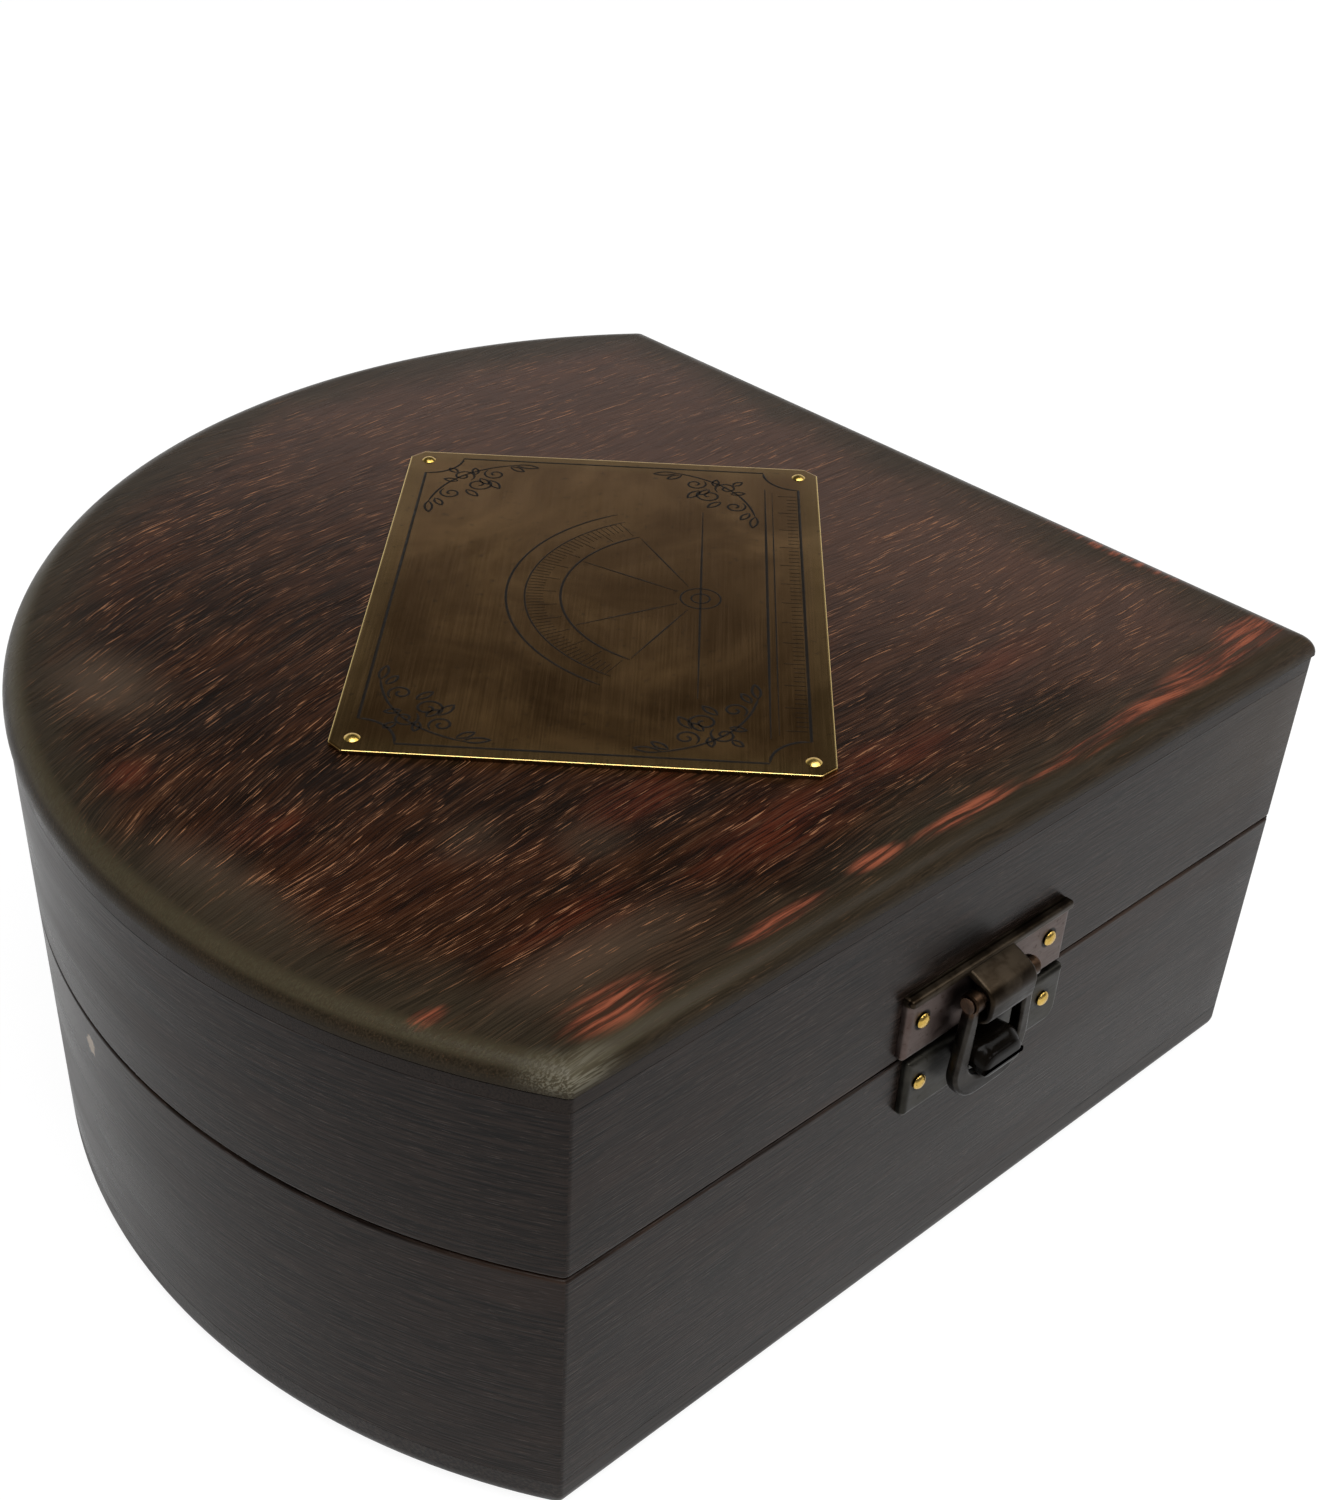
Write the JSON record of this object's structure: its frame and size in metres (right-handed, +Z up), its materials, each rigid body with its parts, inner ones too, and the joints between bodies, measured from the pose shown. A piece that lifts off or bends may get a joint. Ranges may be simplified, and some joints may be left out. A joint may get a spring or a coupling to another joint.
{
  "type": "sextant box",
  "caption": "Lidded wooden instrument case with a square corner and one round wall, a hasp-and-hook latch, butt hinges, velvet linings and a bare engraved name plate.",
  "frame": {"origin": "centre of the round wall's arc, on the face that the box stands on", "axes": "+Z up, -Y out of the face with the latch, +X out of the face with the hinges"},
  "size_m": [0.1483, 0.1497, 0.068],
  "materials": {
    "stained_wood": "satin lacquer over dark stain, with red-brown rub-through",
    "velvet": "short pile",
    "aged_steel": "dull, grey-brown patina",
    "black_enamel": "gloss",
    "aged_brass": "polished, darkened with age",
    "bright_brass": "polished"
  },
  "bodies": {
    "base": {"base_floor_board": "stained_wood", "base_front_wall": "stained_wood", "base_side_wall": "stained_wood", "base_curved_wall": "stained_wood", "base_floor_lining": "velvet", "base_wall_lining": "velvet", "base_latch_plate": "aged_steel", "latch_hook": "black_enamel", "base_latch_nails": "bright_brass", "hinge_base_leaves": "aged_brass", "hinge_pins": "aged_brass", "hinge_base_screws": "bright_brass"},
    "lid": {"lid_top_board": "stained_wood", "lid_front_wall": "stained_wood", "lid_side_wall": "stained_wood", "lid_curved_wall": "stained_wood", "lid_top_lining": "velvet", "lid_wall_lining": "velvet", "name_plate": "aged_brass", "name_plate_pins": "bright_brass", "lid_latch_plate": "aged_steel", "lid_latch_nails": "bright_brass", "hasp_pin": "aged_steel", "hinge_lid_leaves": "aged_brass", "hinge_lid_screws": "bright_brass"},
    "hasp": {"hasp_loop": "aged_steel"}
  },
  "joints": [
    {"name": "lid_open", "type": "hinge", "parent": "base", "child": "lid", "pos_m": [0.0553, 0, 0.03865], "axis": [0, 1, 0], "range_deg": [0, 180]},
    {"name": "hasp_lift", "type": "hinge", "parent": "lid", "child": "hasp", "pos_m": [-0.0099, -0.0563, 0.0452], "axis": [-1, 0, 0], "range_deg": [0, 170]}
  ]
}
